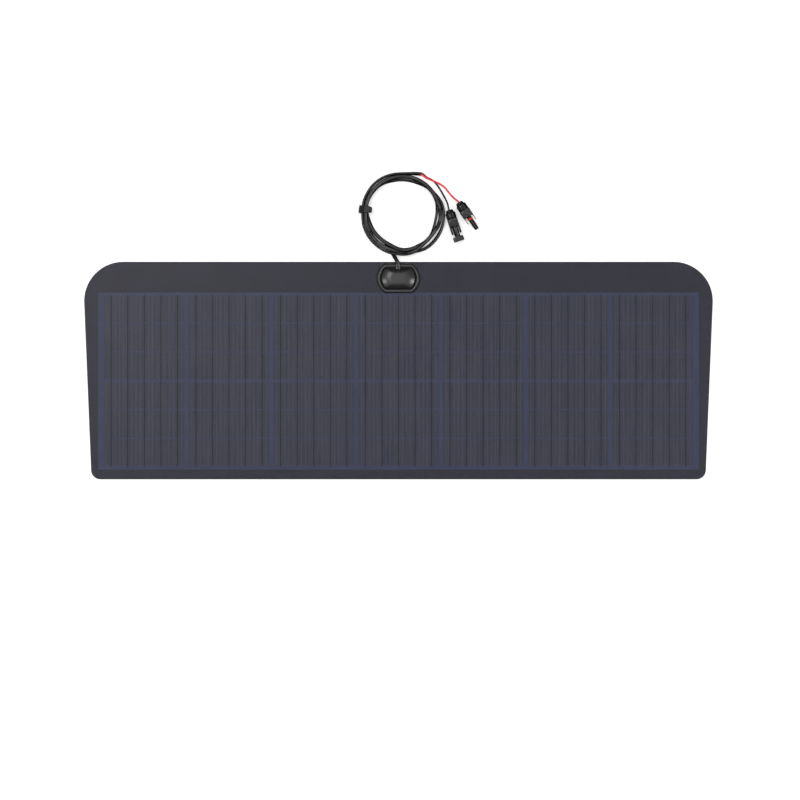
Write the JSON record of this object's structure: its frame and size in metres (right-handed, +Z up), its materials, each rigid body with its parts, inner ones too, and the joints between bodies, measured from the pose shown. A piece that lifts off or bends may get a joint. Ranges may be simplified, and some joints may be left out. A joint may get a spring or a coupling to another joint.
{
  "type": "flexible solar sheet",
  "caption": "Thin bendable solar sheet with tapered sides and rounded corners, a top-mounted junction box, a coiled twin cable and a pair of plug connectors.",
  "frame": {"origin": "middle of the sheet's underside, on the surface it lies on", "axes": "+X along the sheet's long edges, +Y towards the edge with the junction box, +Z up out of the cells' face"},
  "size_m": [1.205, 0.5874, 0.02],
  "materials": {
    "backing": "dark grey glass-fibre backing sheet, matte",
    "encapsulant": "clear encapsulant over a dark ground",
    "scrim": "bluish glass-fibre scrim set in clear resin",
    "front_film": "clear fluoropolymer film, finely embossed, matte",
    "cell": "dark blue-grey monocrystalline silicon",
    "ribbon": "flattened tinned copper ribbon, darkened",
    "box_plastic": "black moulded plastic, fine matte texture",
    "rubber": "black sealing rubber and foam tape",
    "contact_metal": "tinned copper",
    "diode": "black moulded diode body",
    "cable_jacket": "black cable jacket, satin",
    "red_core": "red core insulation, satin",
    "black_core": "black core insulation, satin",
    "tie": "black woven hook-and-loop strap",
    "plug_plastic": "black moulded plastic, satin",
    "red_ring": "red-orange sealing rubber"
  },
  "bodies": {
    "panel": {"back_sheet": "backing", "rear_encapsulant": "encapsulant", "reinforcing_scrim": "scrim", "front_encapsulant": "encapsulant", "front_film": "front_film", "cells_upper_1": "cell", "cells_upper_2": "cell", "cells_upper_3": "cell", "cells_upper_4": "cell", "cells_upper_5": "cell", "cells_upper_6": "cell", "cells_upper_7": "cell", "cells_lower_1": "cell", "cells_lower_2": "cell", "cells_lower_3": "cell", "cells_lower_4": "cell", "cells_lower_5": "cell", "cells_lower_6": "cell", "cells_lower_7": "cell", "end_ribbon_top_1": "ribbon", "end_ribbon_top_2": "ribbon", "end_ribbon_top_3": "ribbon", "end_ribbon_bottom_1": "ribbon", "end_ribbon_bottom_2": "ribbon", "end_ribbon_bottom_3": "ribbon", "output_ribbon_positive": "ribbon", "output_ribbon_negative": "ribbon", "box_base": "box_plastic", "box_adhesive_pad": "rubber", "box_gasket": "rubber", "box_lid": "box_plastic", "cable_gland": "box_plastic", "box_terminal_positive": "contact_metal", "box_terminal_negative": "contact_metal", "box_bypass_diode": "diode", "box_core_red": "red_core", "box_core_black": "black_core", "cable_lead": "cable_jacket", "cable_coil": "cable_jacket", "cable_tie": "tie", "lead_red": "red_core", "lead_black": "black_core", "red_plug_housing": "plug_plastic", "red_plug_seal": "rubber", "red_plug_cage": "plug_plastic", "red_plug_seal_ring": "red_ring", "red_plug_contact": "contact_metal", "black_plug_housing": "plug_plastic", "black_plug_seal": "rubber", "black_plug_cage": "plug_plastic", "black_plug_contact": "contact_metal"},
    "red_nut": {"red_plug_nut": "plug_plastic"},
    "black_nut": {"black_plug_nut": "plug_plastic"},
    "left_latch": {"red_plug_latch_left": "plug_plastic"},
    "right_latch": {"red_plug_latch_right": "plug_plastic"}
  },
  "joints": [
    {"name": "red_nut_turn", "type": "hinge", "parent": "panel", "child": "red_nut", "pos_m": [0.1202, 0.31449, 0.0102], "axis": [0.565, -0.8251, 0], "range_deg": [0, 900]},
    {"name": "black_nut_turn", "type": "hinge", "parent": "panel", "child": "black_nut", "pos_m": [0.09947, 0.29873, 0.0102], "axis": [0.314, -0.9494, 0], "range_deg": [0, 900]},
    {"name": "left_latch_press", "type": "hinge", "parent": "panel", "child": "left_latch", "pos_m": [0.1351, 0.30724, 0.0102], "axis": [0, 0, -1], "range_deg": [0, 6], "stiffness_Nm_per_rad": 0.35},
    {"name": "right_latch_press", "type": "hinge", "parent": "panel", "child": "right_latch", "pos_m": [0.12157, 0.29797, 0.0102], "axis": [0, 0, 1], "range_deg": [0, 6], "stiffness_Nm_per_rad": 0.35}
  ]
}
